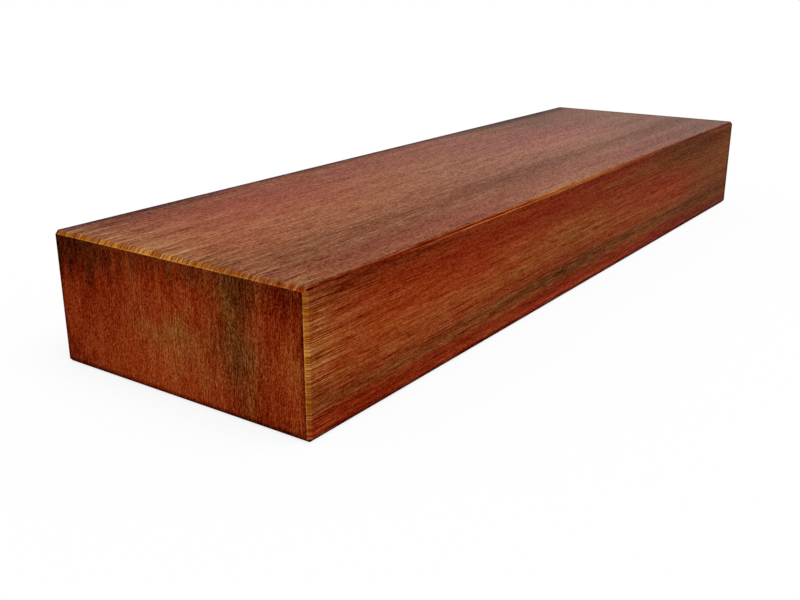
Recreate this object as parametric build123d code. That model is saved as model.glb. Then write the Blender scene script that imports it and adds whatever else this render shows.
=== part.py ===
from build123d import *

import os

# A short length of planed hardwood board, sawn square and planed on all four sides, with every
# arris eased by the same small flat chamfer. It is one piece of wood, so it is one solid.
#
# Frame: the origin is the middle of the underside. +X runs along the grain, from the near end to
# the far end, +Y runs across the board's width and +Z is up, out of the upper wide face.
# All sizes are in millimetres.

# Driving dimensions: a nominal 2 x 4 board, dressed to 1 1/2 x 3 1/2 in and cut to 12 in.
board_length = 304.8    # 12 in, along the grain
board_width = 88.9      # 3 1/2 in, across the wide faces
board_thickness = 38.1  # 1 1/2 in, from the underside to the upper face
eased_arris = 1.0       # set-back of the chamfer on each face beside an edge


def dressed_section():
    """The board's section across the grain, standing on the underside, before its edges are eased."""
    with BuildSketch(Plane.YZ) as section:
        with Locations((0, board_thickness / 2)):
            Rectangle(board_width, board_thickness)
    return section.sketch


def sawn_blank():
    """The section carried along the grain, half of the length to each side of the origin."""
    return extrude(dressed_section(), amount=board_length / 2, both=True)


def ease_arrises(blank):
    """Takes a flat chamfer off all twelve edges, which leaves a small triangle at each corner."""
    return chamfer(blank.edges(), length=eased_arris)


def hardwood_board():
    """The finished board."""
    board = ease_arrises(sawn_blank())
    board.label = "board"
    return board


os.makedirs("parts", exist_ok=True)
export_step(hardwood_board(), "parts/board.step")
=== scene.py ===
# A short length of planed red hardwood board, dressed round its solid model.
# +X runs along the grain from the near end to the far end, +Y from the near edge to the far edge and
# +Z up, out of the upper face. Sizes are in millimetres.

import math

import bmesh
import bpy
import numpy as np
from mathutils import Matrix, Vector


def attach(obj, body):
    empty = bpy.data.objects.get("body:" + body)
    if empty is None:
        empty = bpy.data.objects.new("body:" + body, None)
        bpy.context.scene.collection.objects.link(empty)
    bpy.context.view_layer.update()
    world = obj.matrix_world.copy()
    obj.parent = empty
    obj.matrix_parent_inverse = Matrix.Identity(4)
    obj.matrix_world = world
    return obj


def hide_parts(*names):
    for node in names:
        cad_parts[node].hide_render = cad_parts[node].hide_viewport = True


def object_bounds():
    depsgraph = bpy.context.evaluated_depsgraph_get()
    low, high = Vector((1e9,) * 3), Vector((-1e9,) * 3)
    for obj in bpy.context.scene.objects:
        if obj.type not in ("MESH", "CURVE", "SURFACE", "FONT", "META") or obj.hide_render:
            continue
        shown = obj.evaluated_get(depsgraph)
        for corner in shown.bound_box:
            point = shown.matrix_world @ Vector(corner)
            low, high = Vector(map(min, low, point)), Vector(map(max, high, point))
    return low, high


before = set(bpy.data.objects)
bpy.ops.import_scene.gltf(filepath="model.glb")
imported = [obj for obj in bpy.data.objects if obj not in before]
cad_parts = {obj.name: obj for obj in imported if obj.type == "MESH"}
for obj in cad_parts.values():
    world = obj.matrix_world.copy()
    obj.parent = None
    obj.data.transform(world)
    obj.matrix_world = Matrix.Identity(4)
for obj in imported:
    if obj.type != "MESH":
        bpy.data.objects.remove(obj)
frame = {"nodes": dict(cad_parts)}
cadLow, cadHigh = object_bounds()  # the solid model's box, which the dressed board has to keep
mm = 0.001  # metres in a millimetre
print("Frame loaded:", ", ".join(frame["nodes"]))


def linear(hexColour):
    # An sRGB hex colour as linear light: c / 12.92 near black, else ((c + 0.055) / 1.055) ^ 2.4.
    parts = [int(hexColour[i:i + 2], 16) / 255 for i in (1, 3, 5)]
    return tuple(c / 12.92 if c <= 0.04045 else ((c + 0.055) / 1.055) ** 2.4 for c in parts) + (1.0,)


def addNode(tree, kind, settings=None, inputs=None):
    # Adds one node. settings are its own properties. An input is a number, a vector, a colour, a socket
    # to link, or another node, whose first output is linked.
    node = tree.nodes.new(kind)
    for name, value in (settings or {}).items():
        setattr(node, name, value)
    for name, value in (inputs or {}).items():
        if isinstance(value, bpy.types.Node):
            value = value.outputs[0]
        if isinstance(value, bpy.types.NodeSocket):
            tree.links.new(value, node.inputs[name])
        else:
            node.inputs[name].default_value = value
    return node


def newTree(owner):
    # The empty node tree of a new material or world.
    owner.use_nodes = True
    owner.node_tree.nodes.clear()
    return owner.node_tree


# The board's shape

boardShape = {
    "cells": (134, 144, 60),        # grid cells along, across and up the flat of a face
    "softening": 0.15,              # radius of the worn line where a flat chamfer meets a face
    "gleamShare": 0.55,             # a grid line this far over each half chamfer, where the painted gleam turns
    "furrowDepth": 0.045,           # raised grain: how far the softer streaks lie below the planed face
    "furrowSize": (34, 1.5),        # their length and width on the long faces
    "endFurrowSize": (5, 1.3),      # and on the sawn ends, where they stand upright
    "furrowMix": (0.65, 0.35),      # the shares of these streaks and of others, half as long and as wide
    "furrowContrast": (1.6, 0.45),  # the mix times the first, less the second, so some wood stays flat
    "furrowSeeds": (7, 17),         # for the two kinds of streaks; each face adds its number to them
    "furrowFade": 1.5,              # they run out over this distance from an arris
    "seamGap": 1e-4,                # points of two faces that are nearer than this become one
    "areaWeight": 100,              # a point's normal follows its largest faces, so the flats look flat
}

boxLow = np.array(cadLow) / mm
boxHigh = np.array(cadHigh) / mm
half = (boxHigh - boxLow) / 2
middle = (boxHigh + boxLow) / 2
cadMesh = frame["nodes"]["board"].data
cadPoints = np.empty(len(cadMesh.vertices) * 3)
cadMesh.vertices.foreach_get("co", cadPoints)
cadHeights = np.unique(np.round(cadPoints.reshape(-1, 3)[:, 2] / mm, 3))  # to a thousandth
arris = float(cadHeights[1] - cadHeights[0])  # the chamfer's set-back, read from the solid model


def faceNumber(axis, side):
    # 2 axis, and 1 more for the side at +1: the near end, far end, near edge, far edge, underside and
    # upper face, from 0 to 5.
    return 2 * axis + (side > 0)


def smoothStep(t):
    # 3 t^2 - 2 t^3, with t held between 0 and 1.
    t = np.clip(t, 0, 1)
    return t * t * (3 - 2 * t)


def streakField(along, across, length, width, seed):
    # Soft streaks from 0 to 1: random heights on a lattice, whose cells are length by width, joined by
    # smooth steps.
    rows = (along - along.min()) / length
    columns = (across - across.min()) / width
    lattice = np.random.default_rng(seed).random((int(rows.max()) + 3, int(columns.max()) + 3))
    r = rows.astype(int)
    c = columns.astype(int)
    fr = smoothStep(rows - r)
    fc = smoothStep(columns - c)
    near = lattice[r, c] * (1 - fc) + lattice[r, c + 1] * fc
    far = lattice[r + 1, c] * (1 - fc) + lattice[r + 1, c + 1] * fc
    return near * (1 - fr) + far * fr


def easedLine(halfSize, cells):
    # One coordinate across a face and over half of the chamfer at each edge. Each point has a place on
    # the flat, a share from 0 to 1 of the half chamfer, and a sink at the worn line between the two.
    # The worn line is a round of radius r: it starts r tan(turn) before the sharp line between the flat
    # and the chamfer, and passes r / cos(turn) - r inside it.
    flat = halfSize - arris
    r = boardShape["softening"]
    turn = math.pi / 8  # half of the turn from the flat to the chamfer
    back = r * math.tan(turn)
    inside = r * (1 / math.cos(turn) - 1)
    place = np.array([flat, flat, flat, flat - inside * math.sin(turn)])
    over = np.array([1, boardShape["gleamShare"], back * math.sqrt(2) / arris, 0])
    sink = np.array([0, 0, 0, inside * math.cos(turn)])
    across = np.linspace(back - flat, flat - back, cells + 1)
    none = np.zeros(cells + 1)
    return (
        np.concatenate([-place, across, place[::-1]]),
        np.concatenate([over, none, over[::-1]]),
        np.concatenate([sink, none, sink[::-1]]),
    )


def facePatch(axis, side):
    # One face and half of every chamfer round it, as a function of two places a and b on a grid.
    # With s and t the shares over the chamfers and c the arris, the point lies
    # s (c / 2 - t c / 6) past the flat along a, the same with s and t changed over along b,
    # and (s + t) c / 2 - s t c / 3 below the face, so three patches meet in each corner's flat facet.
    # The furrow at a point is the mix of both kinds of streaks, smoothed, and faded out by an arris.
    axisA = (axis + 1) % 3
    axisB = (axis + 2) % 3
    c = arris
    lineA = easedLine(half[axisA], boardShape["cells"][axisA])
    lineB = easedLine(half[axisB], boardShape["cells"][axisB])
    a, b = np.meshgrid(lineA[0], lineB[0], indexing="ij")
    s, t = np.meshgrid(lineA[1], lineB[1], indexing="ij")
    sinkA, sinkB = np.meshgrid(lineA[2], lineB[2], indexing="ij")
    sink = np.maximum(sinkA, sinkB)
    lean = np.sqrt(1 + (s > 0) + (t > 0))  # how long the outward direction is, to share out the sink

    # raised grain, which runs out towards the arrises
    edge = np.minimum(half[axisA] - c - np.abs(a), half[axisB] - c - np.abs(b)) / boardShape["furrowFade"]
    alongAxis = 0 if axis else 2
    along, across = (a, b) if axisA == alongAxis else (b, a)
    length, width = boardShape["furrowSize"] if axis else boardShape["endFurrowSize"]
    seed, finerSeed = (start + faceNumber(axis, side) for start in boardShape["furrowSeeds"])
    broad = streakField(along, across, length, width, seed)
    finer = streakField(along, across, length / 2, width / 2, finerSeed)
    broadShare, finerShare = boardShape["furrowMix"]
    contrast, flatLevel = boardShape["furrowContrast"]
    mixed = broadShare * broad + finerShare * finer
    furrow = smoothStep(contrast * mixed - flatLevel) * smoothStep(edge)
    depth = boardShape["furrowDepth"] * furrow

    point = np.zeros(a.shape + (3,))
    point[..., axisA] = a + np.sign(a) * (s * (c / 2 - t * c / 6) - sink * (s > 0) / lean)
    point[..., axisB] = b + np.sign(b) * (t * (c / 2 - s * c / 6) - sink * (t > 0) / lean)
    height = half[axis] - (s + t) * c / 2 + s * t * c / 3 - sink / lean - depth
    point[..., axis] = side * height
    return point, s, t, furrow


# The wood's figure. On the upper face it runs from the near end, at 0, to the far end, at 1, and from the
# far edge, at 0, to the near edge, at 1. Every long face shows all of it, and so does a sawn end, where
# it stands upright, from the underside to the upper face and from the end's left to its right.
# A mark is a soft patch: where it is, how far it spreads, and what it adds to the wood's tone,
# to its gold and to the strength of its streaks.

figureMarks = {
    "orangeHeart": ((0.12, 0.46), (0.26, 0.20), (0.15, 0.0, 0.0)),
    "darkShoulder": ((0.09, 0.07), (0.10, 0.08), (-0.16, 0.05, 0.0)),
    "redShoulder": ((0.18, 0.26), (0.16, 0.15), (0.02, -0.35, -0.20)),
    "darkBandNear": ((0.12, 0.78), (0.20, 0.07), (-0.10, 0.30, 0.30)),
    "darkBandMiddle": ((0.48, 0.75), (0.22, 0.06), (-0.18, 0.90, 0.30)),
    "darkBandFar": ((0.88, 0.75), (0.22, 0.07), (-0.18, 0.75, 0.10)),
    "redStrip": ((0.36, 0.90), (0.55, 0.05), (-0.08, -0.15, -0.10)),
    "paleFleck": ((0.50, 0.50), (0.12, 0.12), (0.03, 0.60, 0.10)),
    "lowGold": ((0.48, 1.0), (0.13, 0.07), (0.06, 0.35, 0.10)),
    "farRed": ((0.70, 0.50), (0.13, 0.11), (0.04, -0.50, -0.10)),
    "farPatch": ((0.85, 0.10), (0.16, 0.13), (-0.24, 0.75, -0.10)),
    "lowFar": ((0.84, 0.94), (0.25, 0.06), (-0.15, -0.05, 0.0)),
    "farEnd": ((1.0, 0.5), (0.20, 0.80), (-0.13, 0.40, -0.20)),
}

allOver = 9  # a spread so wide that the mark stays even from one rim to the other

# What the flats of each kind of face add to that: to the whole face, and where it differs most.
faceMarks = {
    "wide": {
        "whole": ((0.5, 0.5), (allOver, allOver), (-0.02, 0.42, -0.20)),
        "calmFarEnd": ((1.0, 0.5), (0.45, allOver), (0.0, 0.10, -0.50)),
        "paleStrip": ((0.45, 0.91), (0.40, 0.07), (0.06, -0.04, -0.50)),
        "goldBand": ((0.42, 0.75), (0.28, 0.06), (0.04, 1.00, -0.30)),
        # painted shade along the far edge
        "shadedFarEdge": ((0.85, 0.0), (0.45, 0.06), (-0.50, 0.0, 0.0)),
        "redFarHalf": ((0.75, 0.38), (0.25, 0.18), (-0.045, -0.30, 0.0)),
        "redNearEdge": ((0.72, 0.90), (0.20, 0.08), (0.0, -0.30, 0.0)),
        "goldFarCorner": ((0.90, 0.12), (0.13, 0.06), (0.12, 0.80, 0.0)),
        "redPatch": ((0.62, 0.17), (0.09, 0.07), (0.0, -0.40, 0.0)),
        "goldFarEnd": ((1.0, 0.75), (0.12, 0.07), (0.0, 0.60, 0.0)),
        "streakyNearEnd": ((0.0, 0.5), (0.18, allOver), (0.0, 0.0, 0.12)),
    },
    "edge": {
        "whole": ((0.5, 0.5), (allOver, allOver), (0.004, 0.08, 0.05)),
        "redLowSide": ((0.40, 0.96), (0.65, 0.08), (0.07, -0.75, 0.0)),
        "calmFarEnd": ((1.0, 0.5), (0.38, allOver), (0.0, 0.22, -0.32)),
        "calmTop": ((0.45, 0.14), (0.25, 0.14), (-0.04, -0.15, -0.45)),
        "darkTop": ((0.56, 0.02), (0.16, 0.05), (-0.22, -0.20, 0.0)),
        "redLowCorner": ((0.0, 0.95), (0.12, 0.18), (-0.03, -0.50, 0.0)),
        "goldFarCorner": ((0.95, 0.14), (0.10, 0.06), (0.06, 0.80, 0.0)),
    },
    "end": {
        "whole": ((0.5, 0.5), (allOver, allOver), (0.08, -0.20, -0.20)),
        "darkTopLeft": ((1.0, 0.08), (0.42, 0.18), (-0.17, 0.0, 0.0)),
        "darkBand": ((0.65, 0.75), (0.30, 0.06), (-0.04, 0.0, 0.10)),
        "goldMiddle": ((0.48, 0.60), (0.34, 0.20), (0.0, 0.25, 0.0)),
        "palePatch": ((0.65, 0.27), (0.16, 0.12), (0.03, 0.0, 0.0)),
        "redTopLeft": ((0.85, 0.10), (0.20, 0.15), (0.0, -0.50, 0.0)),
        "paleRight": ((0.40, 0.93), (0.35, 0.07), (0.09, 0.0, 0.0)),
        "redLow": ((0.08, 0.42), (0.07, 0.26), (0.0, -0.50, 0.0)),
        "darkTop": ((1.0, 0.5), (0.15, allOver), (-0.11, 0.0, 0.0)),
    },
}

figureLook = {
    "base": (0.50, 0.20, 0.85),        # the wood's tone, gold and streak strength away from every mark
    "fingers": (0.10, 55, 1.8, 40),    # marks end in fingers: their reach, length, width and seed
    "wave": (0.02, 70, 14, 41),        # and wave across the grain
    "furrowTone": -0.04,               # the furrows of the raised grain are darker
    # beside the near end the long faces turn gold and streaky: a mark that has no fingers
    "nearEnd": ((0.0, 0.42), (0.035, 0.60), (0.05, 0.45, 0.90)),
    "endArris": (0.135, 1.05, 0.20),   # the sawn ends' arrises cut across the streaks and show gold
    "paintedEndGleam": (0.20, 0.20, -0.8),    # with a painted highlight, a paler worn line, on the half that belongs to the end
    "endRed": (-0.08, -1.20, -0.30),   # and redden over the last part of the figure's width
    "endRedStart": 0.60,               # from here on
    "endRedCalm": 0.6,                 # where their ticks are this much weaker
    "longArris": (-0.15, -0.15, 0.0),  # a long arris is dark
    "paintedLongGleam": (0.66, 1.05, 0.0),    # but for two worn lines with a painted highlight
    "paintedGleamPlace": (0.38, 0.28),        # the painted highlight lies round this place along the board, with this spread
    "paintedGleamMiddle": 0.4,                # and past that place it covers the whole chamfer by this share of it
    # how strong the worn line is on a face's half of a chamfer: beside the flat, at gleamShare and in the
    # middle of the chamfer
    "wornLine": {"wide": (0, 0.45, 0), "edge": (1, 0, 0), "end": (1, 0, 0)},
    "endStretch": 2.6,                 # the ends' own streaks are this much longer
    "endSqueeze": 1.6,                 # and this much finer
    "lowArrisShade": (-0.45, 0.0, 0.0),     # painted shade: the underside's arrises are darkened, as they face down away from the light
    "lowRoughness": 1.3,               # and dull
    # painted shade: the rim of a flat is darkened too, beside the far end, far edge and underside, and on
    # an end also beside the near edge; rimSides says which way the first three lie along X, Y and Z
    "rimShade": (-0.42, -0.15, 0.0),
    "rimWidth": {"wide": 3.0, "edge": 1.2, "end": 1.1},
    "rimSides": (1, 1, -1),
    "shifts": (0, 3000, 0, 4000, 5000, 0),  # how far each face's streaks are moved along, by face number
}


def longFigure(axis, side, share):
    # Where in the figure a point of a long face lies, from 0 to 1 along and across.
    x, y, z = share
    if axis == 2:
        return x, 1 - y if side > 0 else y
    return x, 1 - z if side < 0 else z


def figurePlace(axis, side, point, s, t):
    # The place in the figure of each point of a face, and the number of the face whose figure it is.
    # An end's half chamfers take the figure of the long face beside them, so its streaks run on as ticks.
    share = [(point[..., k] + half[k]) / (2 * half[k]) for k in range(3)]
    number = np.full(point.shape[:2], faceNumber(axis, side))
    if axis:
        along, across = longFigure(axis, side, share)
        return along, across, number
    along = share[2]
    across = 1 - share[1] if side < 0 else share[1]
    upper = point[..., 2] > 0
    far = point[..., 1] > 0
    beside = {(1, -1): (s > t) & ~far, (1, 1): (s > t) & far,
              (2, -1): (t >= s) & (t > 0) & ~upper, (2, 1): (t >= s) & (t > 0) & upper}
    for (longAxis, longSide), there in beside.items():
        longAlong, longAcross = longFigure(longAxis, longSide, share)
        along = np.where(there, longAlong, along)
        across = np.where(there, longAcross, across)
        number = np.where(there, faceNumber(longAxis, longSide), number)
    return along, across, number


def addMark(fields, u, v, mark, weight=1.0):
    # Adds weight * strength * exp(-((u - u0) / su)^2 - ((v - v0) / sv)^2) to each field, where the mark is
    # at u0 and v0 and spreads over su and sv.
    place, spread, strengths = mark
    fall = np.exp(-((u - place[0]) / spread[0]) ** 2 - ((v - place[1]) / spread[1]) ** 2)
    for field, strength in zip(fields, strengths):
        field += strength * fall * weight


def figureFields(along, across, face, flat, onEnd):
    # Tone, gold and streak strength: the base and every mark, with the marks' places first moved to and
    # fro by streaks. flat is 1 on a face's flat and runs to 0 in the middle of its chamfers.
    x = along * (2 * half[0])
    y = across * (2 * half[1])
    reach, *streaks = figureLook["fingers"]
    u = along + reach * (2 * streakField(x, y, *streaks) - 1)
    reach, *streaks = figureLook["wave"]
    v = across + reach * (2 * streakField(x, y, *streaks) - 1)
    fields = [np.full(along.shape, value) for value in figureLook["base"]]
    for mark in figureMarks.values():
        addMark(fields, u, v, mark)
    for mark in faceMarks[face].values():
        addMark(fields, u, v, mark, flat)
    addMark(fields, along, across, figureLook["nearEnd"], ~onEnd)
    return fields


def arrisLook(fields, axis, face, point, s, t, along, across):
    # Adds the look of the chamfers and of the rims beside them, with painted shade on the underside's
    # chamfers and on the rims, and painted highlights on the worn lines. overEnd and overLong run from 0 on
    # the flat to 1 in the middle of a chamfer of the sawn ends or of the long edges. The painted gleam
    # falls off as exp(-d^2), at d spreads from its place. Returns where the underside's chamfers are, and
    # how strong the ticks of cut grain are.
    overEnd = (np.maximum(s, t), t, s)[axis]
    overLong = (np.zeros(s.shape), s, t)[axis]
    onLow = (s + t > 0) & (point[..., 2] < arris - half[2])
    onEnd = (overEnd > 0) & ~onLow
    onLong = (overLong > 0) & (overEnd == 0) & ~onLow
    place, spread = figureLook["paintedGleamPlace"]
    worn = np.interp(np.maximum(s, t), (0, boardShape["gleamShare"], 1), figureLook["wornLine"][face])
    # the painted highlight along the chamfers
    past = figureLook["paintedGleamMiddle"] * smoothStep(0.5 + (along - place) / spread)
    paintedGleam = np.exp(-((along - place) / spread) ** 2) * np.maximum(past, worn)
    # painted shade along the rims of the flats
    onShadedRim = np.zeros(s.shape)
    for k in {0, 1, 2} - {axis}:
        outward = point[..., k] * figureLook["rimSides"][k]
        if axis == 0 and k == 1:
            outward = np.abs(outward)
        inside = half[k] - arris - outward
        onShadedRim = np.maximum(onShadedRim, smoothStep(1 - inside / figureLook["rimWidth"][face]))
    red = smoothStep((across - figureLook["endRedStart"]) / (1 - figureLook["endRedStart"]))
    weights = {
        "endArris": onEnd,
        # painted highlight on the ends' worn lines
        "paintedEndGleam": onEnd * worn * (axis == 0),
        "endRed": onEnd * red,
        "longArris": onLong * (1 - paintedGleam),
        # painted highlight on the long worn lines
        "paintedLongGleam": onLong * paintedGleam,
        # painted shade on the underside's chamfers
        "lowArrisShade": onLow,
        # painted shade along the rims
        "rimShade": onShadedRim * (s + t == 0),
    }
    for look, weight in weights.items():
        for field, strength in zip(fields, figureLook[look]):
            field += strength * weight
    return onLow, onEnd * (1 - figureLook["endRedCalm"] * red)


def patchValues(axis, side):
    # The grid of one face with all that its material reads: two maps and seven values for each point.
    # The painted sheen, a pale haze of reflected light painted into the colour, goes from its first value
    # to its second along the face, times flat.
    point, s, t, furrow = facePatch(axis, side)
    along, across, number = figurePlace(axis, side, point, s, t)
    onEnd = number <= faceNumber(0, 1)  # where the figure is that of one of the two sawn ends
    face = ("end", "edge", "wide")[axis]
    flat = 1 - np.maximum(s, t)
    fields = figureFields(along, across, face, flat, onEnd)
    onLow, ticks = arrisLook(fields, axis, face, point, s, t, along, across)
    tone, gold, streak = fields
    tone += figureLook["furrowTone"] * furrow

    # the figure in millimetres of the wide face, and the surface in grains of the face's own dust
    shift = np.array(figureLook["shifts"])[number]
    stretch = np.where(onEnd, figureLook["endStretch"], 1)
    squeeze = np.where(onEnd, figureLook["endSqueeze"], 1)
    figure = np.stack([along * 2 * half[0] / stretch + shift, across * 2 * half[1] * squeeze], -1)
    lengthwise, sideways = ((2, 1), (0, 2), (0, 1))[axis]
    apart = 4 * half[0] * faceNumber(axis, side)  # no two faces share a place
    surface = np.stack([point[..., lengthwise] + apart, point[..., sideways]], -1)
    surface /= woodLook["grain"][face]
    gloss = woodLook["farGloss"][face] * smoothStep(along)
    paintedSheen, farPaintedSheen = woodLook["paintedSheen"][face]
    values = {
        "tone": tone,
        "gold": gold,
        "streak": streak,
        "speckle": woodLook["speckle"][face] * flat,
        "arris": ticks,
        # painted sheen: a haze of reflected light painted into the colour
        "paintedSheen": (paintedSheen + (farPaintedSheen - paintedSheen) * along) * flat,
        "roughness": np.where(onLow, figureLook["lowRoughness"], woodLook["roughness"][face] - gloss),
    }
    return point, {"figure": figure, "surface": surface}, values


def buildBoard():
    # The six patches side by side as one mesh, with their seams merged, so it is one closed skin.
    points = []
    quads = []
    maps = {}
    values = {}
    count = 0
    for axis in range(3):
        for side in (-1, 1):
            point, patchMaps, made = patchValues(axis, side)
            for name, value in patchMaps.items():
                maps.setdefault(name, []).append(value.reshape(-1, 2))
            for name, value in made.items():
                values.setdefault(name, []).append(value.ravel())
            rows, columns = point.shape[:2]
            order = np.arange(rows * columns).reshape(rows, columns) + count
            corners = (order[:-1, :-1], order[1:, :-1], order[1:, 1:], order[:-1, 1:])
            quad = np.stack(corners, -1).reshape(-1, 4)
            quads.append(quad if side > 0 else quad[:, ::-1])  # every face points outwards
            points.append(point.reshape(-1, 3))
            count += rows * columns
    points = (np.concatenate(points) + middle) * mm
    quads = np.concatenate(quads)
    loops = quads.ravel()
    mesh = bpy.data.meshes.new("boardSkin")
    mesh.vertices.add(len(points))
    mesh.vertices.foreach_set("co", points.ravel())
    mesh.loops.add(len(loops))
    mesh.loops.foreach_set("vertex_index", loops)
    mesh.polygons.add(len(quads))
    mesh.polygons.foreach_set("loop_start", np.arange(0, len(loops), 4))
    mesh.update(calc_edges=True)
    for name, parts in maps.items():
        mesh.uv_layers.new(name=name).uv.foreach_set("vector", np.concatenate(parts)[loops].ravel())
    for name, parts in values.items():
        mesh.attributes.new(name, "FLOAT", "CORNER").data.foreach_set("value", np.concatenate(parts)[loops])
    shell = bmesh.new()
    shell.from_mesh(mesh)
    bmesh.ops.remove_doubles(shell, verts=shell.verts, dist=boardShape["seamGap"] * mm)
    openEdges = sum(not edge.is_manifold for edge in shell.edges)
    print("Board skin:", len(shell.faces), "faces, open edges:", openEdges)
    shell.to_mesh(mesh)
    shell.free()
    mesh.polygons.foreach_set("use_smooth", np.ones(len(mesh.polygons), bool))
    board = bpy.data.objects.new("hardwoodBoard", mesh)
    bpy.context.scene.collection.objects.link(board)
    evenNormals = board.modifiers.new("even normals", "WEIGHTED_NORMAL")
    evenNormals.weight = boardShape["areaWeight"]
    return board


# The wood: a dense red tropical hardwood, planed and oiled. Planing leaves it flat with a low sheen,
# and oil deepens the red and lets the pale and dark streaks stand apart.

woodLook = {
    # the wood's colours from the darkest to the palest tone, at gold 0, 1 and 2
    "redTones": ("#330500", "#611300", "#832805", "#a04013", "#bd5c28"),
    "tanTones": ("#331700", "#602e0b", "#824719", "#a0622a", "#c2894e"),
    "amberTones": ("#3f1a00", "#652b00", "#883f03", "#a4570a", "#cb8424"),
    "toneStops": (0.0, 0.28, 0.5, 0.72, 1.0),
    "wander": (0.8, 200, 30),  # the grain's slow wander: its reach, length and width
    "detail": 1.0,             # every noise has one finer octave
    "layerStep": 7.3,          # how far apart the layers are cut from the noise, so that none repeats
    # painted sheen: a pale haze of reflected light painted into the colour as linear light, at the near end
    # and at the far end of each face, growing towards the far end as a grazing reflection does
    "paintedSheen": {"wide": (0.016, 0.040), "edge": (0.0, 0.009), "end": (0.0, 0.0)},
    "speckle": {"wide": 1.1, "edge": 0.75, "end": 1.5},    # how strong the dust of fine grain is
    "grain": {"wide": 0.8, "edge": 0.75, "end": 0.45},     # and how coarse
    "roughness": {"wide": 0.62, "edge": 0.88, "end": 1.06},
    "farGloss": {"wide": 0.06, "edge": 0.12, "end": 0.0},  # how much less rough it is at the far end
    "sheenSwing": -0.42,       # dark pores hold less oil and are rougher
    "specular": 0.008,         # the oil has soaked in and dried, so there is hardly a film left to reflect; the sheen is painted into the colour instead
    "shadeWeight": 2.4,        # what a step of shade counts for as tone, in the relief and the sheen
    "gamma": 2.2,              # shade is added to the colour as the eye sees it, not to its linear light
    "bumpDepth": 0.03,
}

# Each layer of the figure is noise drawn out along the grain. cell is the length and width of one patch
# of it in millimetres of the wide face, or for the dust, in grains. Between the two levels of the noise
# the layer goes from its first share to its second, so some layers swing both ways and others are only
# the thin lines where the noise is high or low. by names the value that its strength follows.
# Tone and gold choose the wood's own colour. Shade only lightens or darkens it, evenly in red, green and
# blue, as pale fibres and shaded pores do, so the fine lines don't change its hue.
# Real pores are about 0.2 mm wide; these are about 0.4, or they would not show in the render.
woodLayers = {
    "broad": {"on": "figure", "cell": (90, 9), "levels": (0.30, 0.70), "shares": (-1, 1),
              "tone": 0.02, "gold": 0.15, "shade": 0.0, "by": "even"},
    "ribbon": {"on": "figure", "cell": (45, 3.0), "levels": (0.32, 0.68), "shares": (-1, 1),
               "tone": 0.02, "gold": 0.06, "shade": 0.008, "by": "streak"},
    "streak": {"on": "figure", "cell": (18, 1.0), "levels": (0.35, 0.65), "shares": (-1, 1),
               "tone": 0.02, "gold": 0.03, "shade": 0.018, "by": "streak"},
    "fibre": {"on": "figure", "cell": (9, 0.36), "levels": (0.36, 0.64), "shares": (-1, 1),
              "tone": 0.03, "gold": 0.0, "shade": 0.045, "by": "streak"},
    "paleLine": {"on": "figure", "cell": (13, 0.5), "levels": (0.58, 0.68), "shares": (0, 1),
                 "tone": 0.05, "gold": 0.05, "shade": 0.062, "by": "streak"},
    "darkLine": {"on": "figure", "cell": (15, 0.5), "levels": (0.42, 0.32), "shares": (0, 1),
                 "tone": -0.05, "gold": 0.0, "shade": -0.070, "by": "streak"},
    "tick": {"on": "figure", "cell": (60, 1.2), "levels": (0.40, 0.60), "shares": (-1, 1),
             "tone": 0.05, "gold": 0.70, "shade": 0.0, "by": "arris"},
    "pore": {"on": "figure", "cell": (3.0, 0.45), "levels": (0.40, 0.30), "shares": (0, 1),
             "tone": -0.03, "gold": 0.0, "shade": -0.037, "by": "even"},
    "dust": {"on": "surface", "cell": (1.3, 0.45), "levels": (0.35, 0.65), "shares": (-1, 1),
             "tone": 0.03, "gold": 0.0, "shade": 0.045, "by": "speckle"},
}


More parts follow.
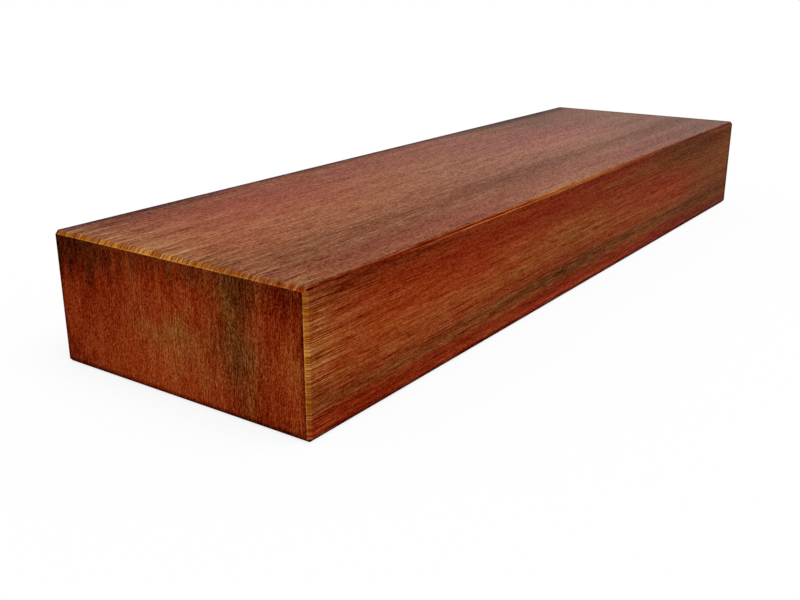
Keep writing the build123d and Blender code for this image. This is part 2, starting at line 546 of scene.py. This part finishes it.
def planedHardwood():
    # Tone, gold and shade are sums of the layers. Each ramp turns the tone into a colour, gold mixes the
    # ramps, and the painted sheen, a haze of reflected light painted into the colour, and then the shade
    # are added. The relief is tone + shadeWeight * shade: it lifts the bump, and sheenSwing times it is
    # added to the roughness.
    material = bpy.data.materials.new("planedOiledHardwood")
    tree = newTree(material)
    value = {name: addNode(tree, "ShaderNodeAttribute", {"attribute_name": name}).outputs["Fac"]
             for name in ("tone", "gold", "streak", "speckle", "arris", "paintedSheen", "roughness")}
    value["even"] = 1.0  # for a layer that is as strong everywhere
    place = {name: addNode(tree, "ShaderNodeUVMap", {"uv_map": name}) for name in ("figure", "surface")}

    # the grain wanders slowly to and fro
    reach, length, width = woodLook["wander"]
    stretched = addNode(tree, "ShaderNodeVectorMath", {"operation": "MULTIPLY"}, {
        0: place["figure"], 1: (1 / length, 1 / width, 0)})
    slow = addNode(tree, "ShaderNodeTexNoise", {}, {
        "Vector": stretched, "Scale": 1.0, "Detail": woodLook["detail"]})
    aside = addNode(tree, "ShaderNodeMath", {"operation": "MULTIPLY_ADD"}, {
        0: slow, 1: 2 * reach, 2: -reach})
    step = addNode(tree, "ShaderNodeCombineXYZ", {}, {"Y": aside})
    place["figure"] = addNode(tree, "ShaderNodeVectorMath", {"operation": "ADD"}, {
        0: place["figure"], 1: step})

    # every layer adds to the tone, from dark to pale, to the gold and to the shade
    sums = {"tone": value["tone"], "gold": value["gold"], "shade": 0.0}
    for number, layer in enumerate(woodLayers.values()):
        length, width = layer["cell"]
        stretched = addNode(tree, "ShaderNodeVectorMath", {"operation": "MULTIPLY_ADD"}, {
            0: place[layer["on"]], 1: (1 / length, 1 / width, 0),
            2: (0, 0, woodLook["layerStep"] * number)})
        noise = addNode(tree, "ShaderNodeTexNoise", {}, {
            "Vector": stretched, "Scale": 1.0, "Detail": woodLook["detail"]})
        shape = addNode(tree, "ShaderNodeMapRange", {"interpolation_type": "SMOOTHSTEP"}, {
            "Value": noise, "From Min": layer["levels"][0], "From Max": layer["levels"][1],
            "To Min": layer["shares"][0], "To Max": layer["shares"][1]})
        scaled = addNode(tree, "ShaderNodeMath", {"operation": "MULTIPLY"}, {
            0: shape, 1: value[layer["by"]]})
        for name in sums:
            if layer[name]:
                sums[name] = addNode(tree, "ShaderNodeMath", {"operation": "MULTIPLY_ADD"}, {
                    0: scaled, 1: layer[name], 2: sums[name]})

    # the red ramp, mixed to the tan one as gold goes from 0 to 1 and on to the amber one from 1 to 2;
    # a colour mix has its share at input 0, its colours at 6 and 7, and its result at output 2
    colour = None
    for number, name in enumerate(("redTones", "tanTones", "amberTones")):
        ramp = addNode(tree, "ShaderNodeValToRGB", {}, {"Fac": sums["tone"]})
        elements = ramp.color_ramp.elements
        while len(elements) < len(woodLook[name]):
            elements.new(0.5)  # it gets its own stop below
        for element, stop, tone in zip(elements, woodLook["toneStops"], woodLook[name]):
            element.position = stop
            element.color = linear(tone)
        if colour is None:
            colour = ramp.outputs["Color"]
            continue
        share = addNode(tree, "ShaderNodeMath", {"operation": "SUBTRACT"}, {
            0: sums["gold"], 1: number - 1.0})
        mix = addNode(tree, "ShaderNodeMix", {"data_type": "RGBA"}, {0: share, 6: colour, 7: ramp})
        colour = mix.outputs[2]

    # the painted sheen, a haze of reflected light painted into the colour, and then the shade, which must
    # not go below black
    withPaintedSheen = addNode(tree, "ShaderNodeVectorMath", {"operation": "ADD"}, {0: colour, 1: value["paintedSheen"]})
    asSeen = addNode(tree, "ShaderNodeGamma", {}, {"Color": withPaintedSheen, "Gamma": 1 / woodLook["gamma"]})
    shaded = addNode(tree, "ShaderNodeVectorMath", {"operation": "ADD"}, {0: asSeen, 1: sums["shade"]})
    kept = addNode(tree, "ShaderNodeVectorMath", {"operation": "MAXIMUM"}, {0: shaded, 1: (0, 0, 0)})
    colour = addNode(tree, "ShaderNodeGamma", {}, {"Color": kept, "Gamma": woodLook["gamma"]})

    relief = addNode(tree, "ShaderNodeMath", {"operation": "MULTIPLY_ADD"}, {
        0: sums["shade"], 1: woodLook["shadeWeight"], 2: sums["tone"]})
    bump = addNode(tree, "ShaderNodeBump", {}, {
        "Strength": 1.0, "Distance": woodLook["bumpDepth"] * mm, "Height": relief})
    roughness = addNode(tree, "ShaderNodeMath", {"operation": "MULTIPLY_ADD"}, {
        0: relief, 1: woodLook["sheenSwing"], 2: value["roughness"]})
    shader = addNode(tree, "ShaderNodeBsdfPrincipled", {}, {
        "Base Color": colour, "Normal": bump, "Roughness": roughness,
        "Specular IOR Level": woodLook["specular"]})
    addNode(tree, "ShaderNodeOutputMaterial", {}, {"Surface": shader})
    return material


board = buildBoard()
board.data.materials.append(planedHardwood())
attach(board, "root")
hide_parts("board")
print("Board dressed:", board.name)


# The studio: a plain white floor, soft light from above and the photograph's viewpoint

studio = {
    "floorSize": 14000,
    "floorColour": "#f2f2f2",
    "plainWhite": (1, 1, 1, 1),
    "shadowShare": 0.15,     # how much of the floor's own shading the camera sees; the rest is plain white
    "ambient": 0.42,         # the surrounding light that falls on the board
    # each lamp's direction, its spread in degrees for soft shadows, and its level. With the ambient light
    # the first renders a colour on the upper face as written. The second is weak and warm and comes from
    # low behind, so that it shows only as sheen on the far half.
    "lamps": {
        "lamp": {"from": (-0.02, -0.36, 1.0), "spread": 50, "level": 0.62, "colour": "#ffffff"},
        "lowLamp": {"from": (1.0, 0.39, 0.09), "spread": 25, "level": 0.033, "colour": "#fff2e4"},
    },
    "cameraPlace": (-304.8, -177.0, 104.0),
    "cameraAim": (-91.1, -26.8, 15.0),
    "lens": 43.43,
    "sensorWidth": 36,
    "clipRange": (10, 100000),
}


def showsBackdrop(tree):
    # 1 for the rays by which the camera, gloss or glass sees the white surroundings, else 0: the greatest
    # of the three kinds.
    path = addNode(tree, "ShaderNodeLightPath")
    seen = path.outputs["Is Camera Ray"]
    for kind in ("Is Glossy Ray", "Is Transmission Ray"):
        seen = addNode(tree, "ShaderNodeMath", {"operation": "MAXIMUM"}, {0: seen, 1: path.outputs[kind]})
    return seen


def buildStudio():
    # A square floor, white surroundings and the lamps. The camera sees shadowShare of the floor's own
    # shading and the rest plain white. The surroundings are white to the camera, in gloss and through
    # glass, and light the board at the level ambient.
    size = studio["floorSize"] * mm / 2
    corners = [(-size, -size, 0), (size, -size, 0), (size, size, 0), (-size, size, 0)]
    mesh = bpy.data.meshes.new("studioFloor")
    mesh.from_pydata(corners, [], [(0, 1, 2, 3)])
    floor = bpy.data.objects.new("studioFloor", mesh)
    bpy.context.scene.collection.objects.link(floor)
    material = bpy.data.materials.new("matteWhitePaper")
    tree = newTree(material)
    seen = showsBackdrop(tree)
    sheet = addNode(tree, "ShaderNodeMix", {"data_type": "RGBA"}, {
        0: seen, 6: linear(studio["floorColour"]), 7: studio["plainWhite"]})
    paper = addNode(tree, "ShaderNodeBsdfDiffuse", {}, {"Color": sheet.outputs[2]})
    white = addNode(tree, "ShaderNodeEmission", {}, {"Strength": 1.0})
    share = addNode(tree, "ShaderNodeMath", {"operation": "MULTIPLY"}, {
        0: seen, 1: 1 - studio["shadowShare"]})
    both = addNode(tree, "ShaderNodeMixShader", {}, {0: share, 1: paper, 2: white})
    addNode(tree, "ShaderNodeOutputMaterial", {}, {"Surface": both})
    mesh.materials.append(material)

    world = bpy.data.worlds.new("studioWorld")
    bpy.context.scene.world = world
    tree = newTree(world)
    level = addNode(tree, "ShaderNodeMath", {"operation": "MULTIPLY_ADD"}, {
        0: showsBackdrop(tree), 1: 1 - studio["ambient"], 2: studio["ambient"]})
    sky = addNode(tree, "ShaderNodeBackground", {}, {"Color": studio["plainWhite"], "Strength": level})
    addNode(tree, "ShaderNodeOutputWorld", {}, {"Surface": sky})

    for name, look in studio["lamps"].items():
        light = bpy.data.lights.new(name, "SUN")
        light.angle = math.radians(look["spread"])
        light.energy = look["level"] * math.pi  # at pi a sun lights a white sheet fully
        light.color = linear(look["colour"])[:3]
        lamp = bpy.data.objects.new(name, light)
        lamp.rotation_euler = (-Vector(look["from"])).to_track_quat("-Z", "Y").to_euler()
        bpy.context.scene.collection.objects.link(lamp)


def buildCamera():
    # It stands upright at cameraPlace and points along the line from there to cameraAim.
    lens = bpy.data.cameras.new("camera")
    lens.lens = studio["lens"]
    lens.sensor_width = studio["sensorWidth"]
    lens.clip_start, lens.clip_end = (distance * mm for distance in studio["clipRange"])
    camera = bpy.data.objects.new("camera", lens)
    camera.location = Vector(studio["cameraPlace"]) * mm
    aim = Vector(studio["cameraAim"]) * mm
    camera.rotation_euler = (aim - camera.location).to_track_quat("-Z", "Y").to_euler()
    bpy.context.scene.collection.objects.link(camera)
    bpy.context.scene.camera = camera


buildStudio()
buildCamera()
bpy.context.scene.view_settings.view_transform = "Standard"
print("Studio ready")
